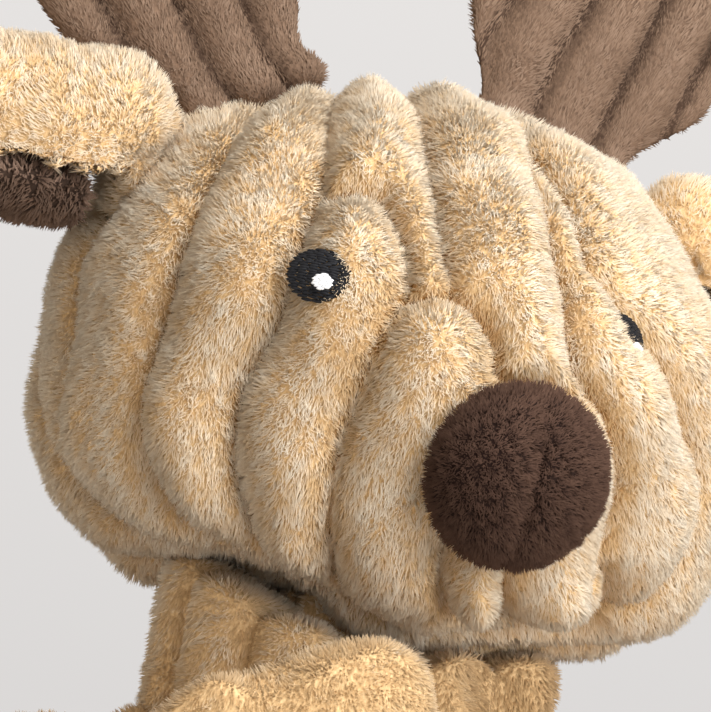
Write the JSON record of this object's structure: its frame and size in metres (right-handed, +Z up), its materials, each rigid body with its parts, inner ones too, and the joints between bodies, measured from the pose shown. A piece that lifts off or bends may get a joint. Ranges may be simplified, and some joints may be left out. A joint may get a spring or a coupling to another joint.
{
  "type": "plush deer",
  "caption": "Seated plush deer with a ribbed round head, padded ears, soft antlers and limbs tied in knots; head, ears, antlers, limbs and tail move on sewn joints.",
  "frame": {"origin": "centre of the flat seat under the body", "axes": "+Z up, the toy faces -Y, its right hand is towards -X"},
  "size_m": [0.276, 0.2518, 0.3139],
  "materials": {
    "tan_plush": "wide-ribbed plush pile",
    "brown_plush": "short ribbed pile",
    "ear_lining": "short pile",
    "nose_plush": "short dense pile",
    "embroidery": "satin stitch",
    "glint_thread": "satin stitch",
    "stuffing": "loose fibre",
    "squeaker_plastic": "matt"
  },
  "bodies": {
    "body": {"body_cover": "tan_plush", "body_stuffing": "stuffing", "body_squeaker_bulb": "squeaker_plastic", "body_squeaker_reed": "squeaker_plastic"},
    "neck": {"neck_stuffing": "stuffing"},
    "head": {"head_cover": "tan_plush", "muzzle_cover": "tan_plush", "head_stuffing": "stuffing", "head_squeaker_bulb": "squeaker_plastic", "head_squeaker_reed": "squeaker_plastic", "nose": "nose_plush", "eye_right": "embroidery", "eye_glint_right": "glint_thread", "eye_left": "embroidery", "eye_glint_left": "glint_thread"},
    "ear_right": {"ear_right": "tan_plush", "ear_lining_right": "ear_lining"},
    "ear_left": {"ear_left": "tan_plush", "ear_lining_left": "ear_lining"},
    "antler_right": {"antler_right": "brown_plush"},
    "antler_left": {"antler_left": "brown_plush"},
    "arm_right": {"arm_right": "tan_plush"},
    "arm_left": {"arm_left": "tan_plush"},
    "leg_right": {"leg_right": "tan_plush"},
    "leg_left": {"leg_left": "tan_plush"},
    "tail": {"tail": "tan_plush"}
  },
  "joints": [
    {"name": "neck_turn", "type": "hinge", "parent": "body", "child": "neck", "pos_m": [0, 0, 0.114], "axis": [0, 0, 1], "range_deg": [-25, 25]},
    {"name": "neck_nod", "type": "hinge", "parent": "neck", "child": "head", "pos_m": [0, 0, 0.114], "axis": [1, 0, 0], "range_deg": [-6, 12]},
    {"name": "shoulder_right", "type": "hinge", "parent": "body", "child": "arm_right", "pos_m": [-0.04179, 0.00334, 0.092], "axis": [1, 0, 0], "range_deg": [-8, 6]},
    {"name": "shoulder_left", "type": "hinge", "parent": "body", "child": "arm_left", "pos_m": [0.04179, 0.00334, 0.092], "axis": [1, 0, 0], "range_deg": [-8, 6]},
    {"name": "hip_right", "type": "hinge", "parent": "body", "child": "leg_right", "pos_m": [-0.02086, -0.03582, 0.02], "axis": [0, 0, -1], "range_deg": [-5, 20]},
    {"name": "hip_left", "type": "hinge", "parent": "body", "child": "leg_left", "pos_m": [0.02086, -0.03582, 0.02], "axis": [0, 0, 1], "range_deg": [-5, 20]},
    {"name": "ear_flop_right", "type": "hinge", "parent": "head", "child": "ear_right", "pos_m": [-0.064, 0.015, 0.21104], "axis": [0, 1, 0], "range_deg": [-12, 3]},
    {"name": "ear_flop_left", "type": "hinge", "parent": "head", "child": "ear_left", "pos_m": [0.064, 0.015, 0.21104], "axis": [0, -1, 0], "range_deg": [-12, 3]},
    {"name": "antler_bend_right", "type": "hinge", "parent": "head", "child": "antler_right", "pos_m": [-0.037, 0.022, 0.23294], "axis": [-0.788, -0.1902, -0.5855], "range_deg": [-8, 8]},
    {"name": "antler_bend_left", "type": "hinge", "parent": "head", "child": "antler_left", "pos_m": [0.037, 0.022, 0.23294], "axis": [0.9272, -0.1158, -0.3563], "range_deg": [-8, 8]},
    {"name": "tail_wag", "type": "hinge", "parent": "body", "child": "tail", "pos_m": [0, 0.04161, 0.028], "axis": [1, 0, 0], "range_deg": [-12, 6]}
  ]
}
